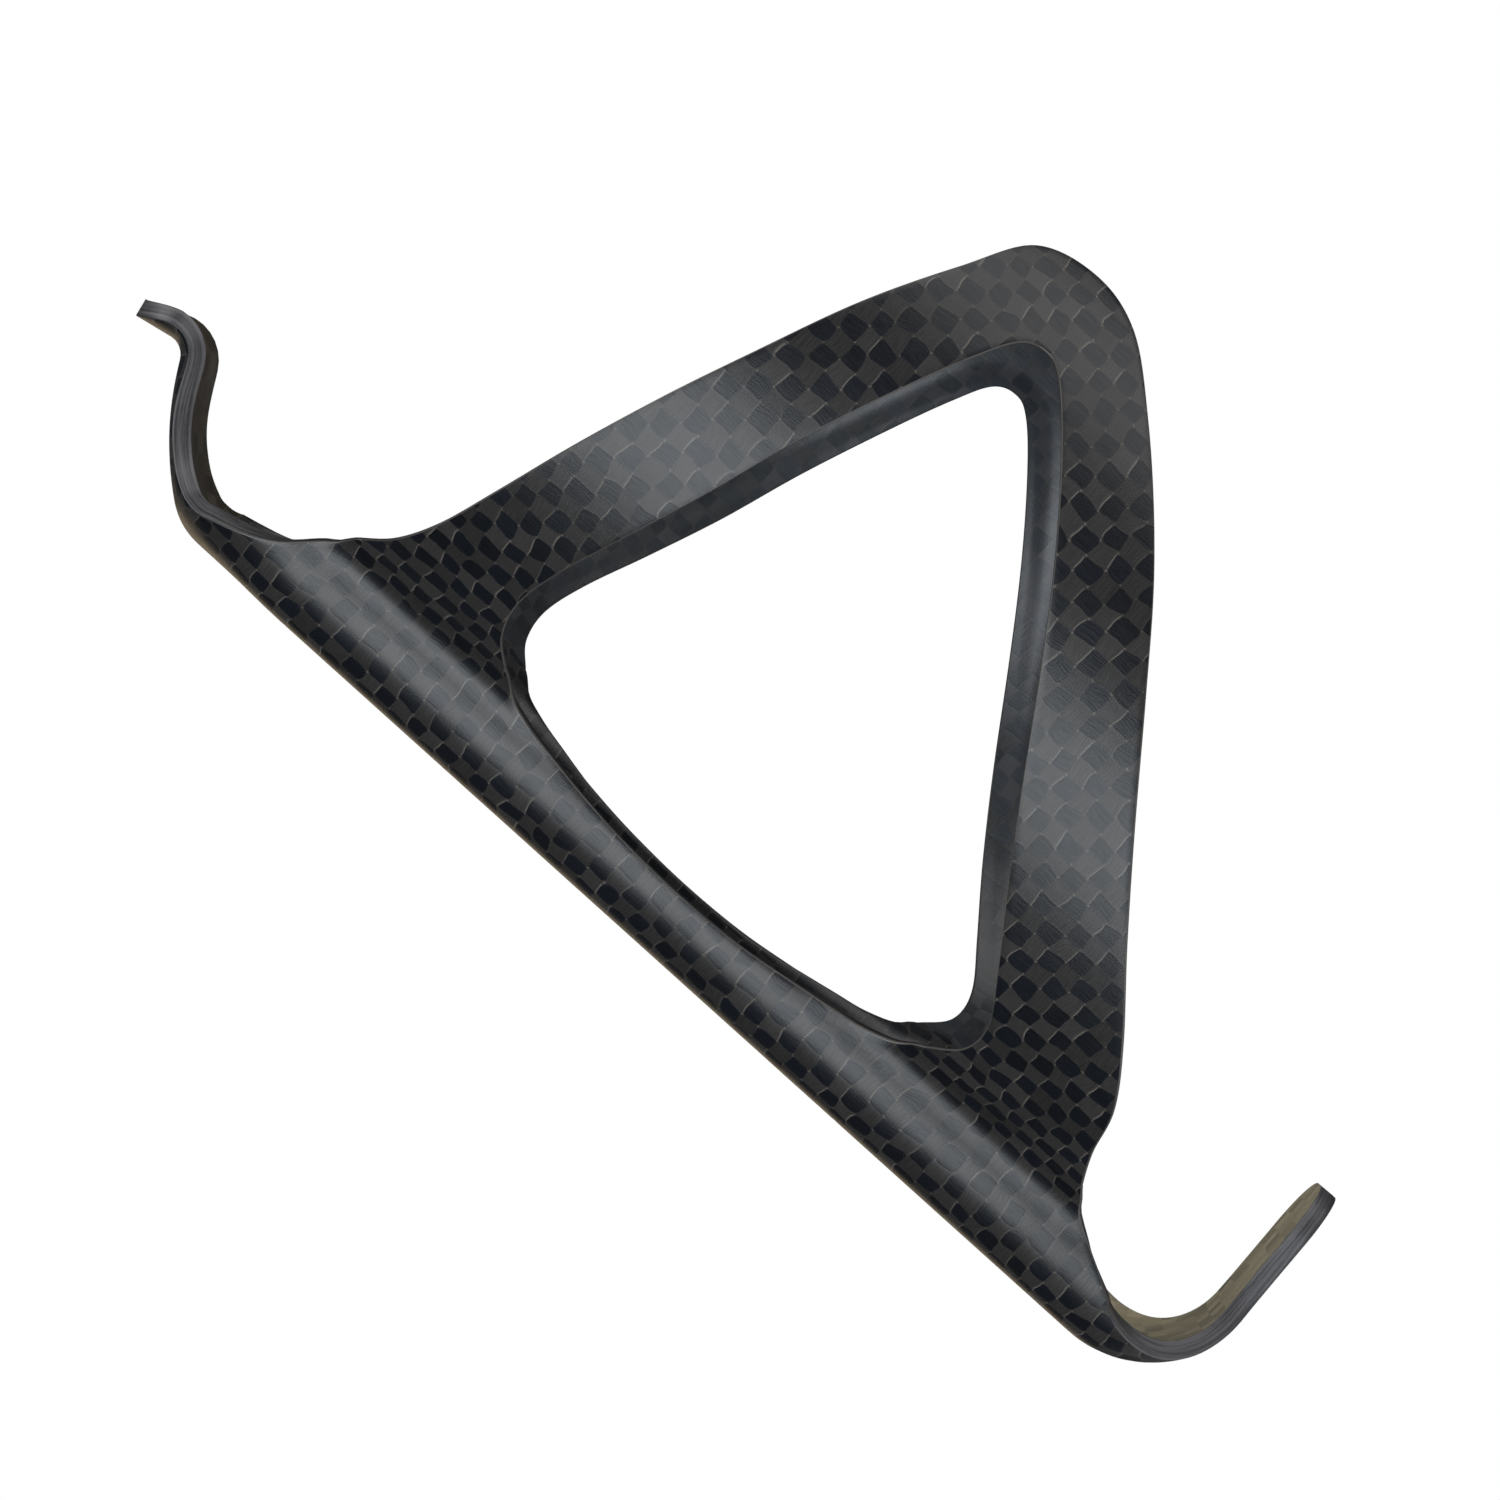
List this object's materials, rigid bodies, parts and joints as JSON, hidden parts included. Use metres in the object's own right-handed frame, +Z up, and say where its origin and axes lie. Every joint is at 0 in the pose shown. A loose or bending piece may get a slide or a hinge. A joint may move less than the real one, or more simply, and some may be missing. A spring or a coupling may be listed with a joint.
{
  "type": "bottle cage",
  "caption": "Carbon fibre bicycle bottle cage: a channelled spine with bolt slots, two sprung open-window wings, a hooked top tongue and a bottle stop.",
  "frame": {"origin": "centre of the two-slot bolt pattern, on the flat back face that rests on the bike tube", "axes": "+Z up along the bottle axis, +Y from the bike tube towards the bottle, +X towards the left wing"},
  "size_m": [0.0766, 0.0724, 0.1396],
  "materials": {
    "carbon_weave": "satin clear-coated plain weave carbon fibre",
    "carbon_ud": "matt cut edge of unidirectional carbon fibre"
  },
  "bodies": {
    "spine": {"spine_outer_ply": "carbon_weave", "spine_ud_core": "carbon_ud", "spine_inner_ply": "carbon_weave", "bottle_stop_outer_ply": "carbon_weave", "bottle_stop_ud_core": "carbon_ud", "bottle_stop_inner_ply": "carbon_weave"},
    "left_wing": {"wing_left_outer_ply": "carbon_weave", "wing_left_ud_core": "carbon_ud", "wing_left_inner_ply": "carbon_weave"},
    "right_wing": {"wing_right_outer_ply": "carbon_weave", "wing_right_ud_core": "carbon_ud", "wing_right_inner_ply": "carbon_weave"},
    "tongue": {"tongue_outer_ply": "carbon_weave", "tongue_ud_core": "carbon_ud", "tongue_inner_ply": "carbon_weave"}
  },
  "joints": [
    {"name": "left_wing_flex", "type": "hinge", "parent": "spine", "child": "left_wing", "pos_m": [0.01712, 0.01211, 0], "axis": [0, 0, -1], "range_deg": [0, 3], "stiffness_Nm_per_rad": 2},
    {"name": "right_wing_flex", "type": "hinge", "parent": "spine", "child": "right_wing", "pos_m": [-0.01712, 0.01211, 0], "axis": [0, 0, 1], "range_deg": [0, 3], "stiffness_Nm_per_rad": 2},
    {"name": "tongue_flex", "type": "hinge", "parent": "spine", "child": "tongue", "pos_m": [0, 0.0012, 0.05506], "axis": [1, 0, 0], "range_deg": [0, 5], "stiffness_Nm_per_rad": 2}
  ]
}
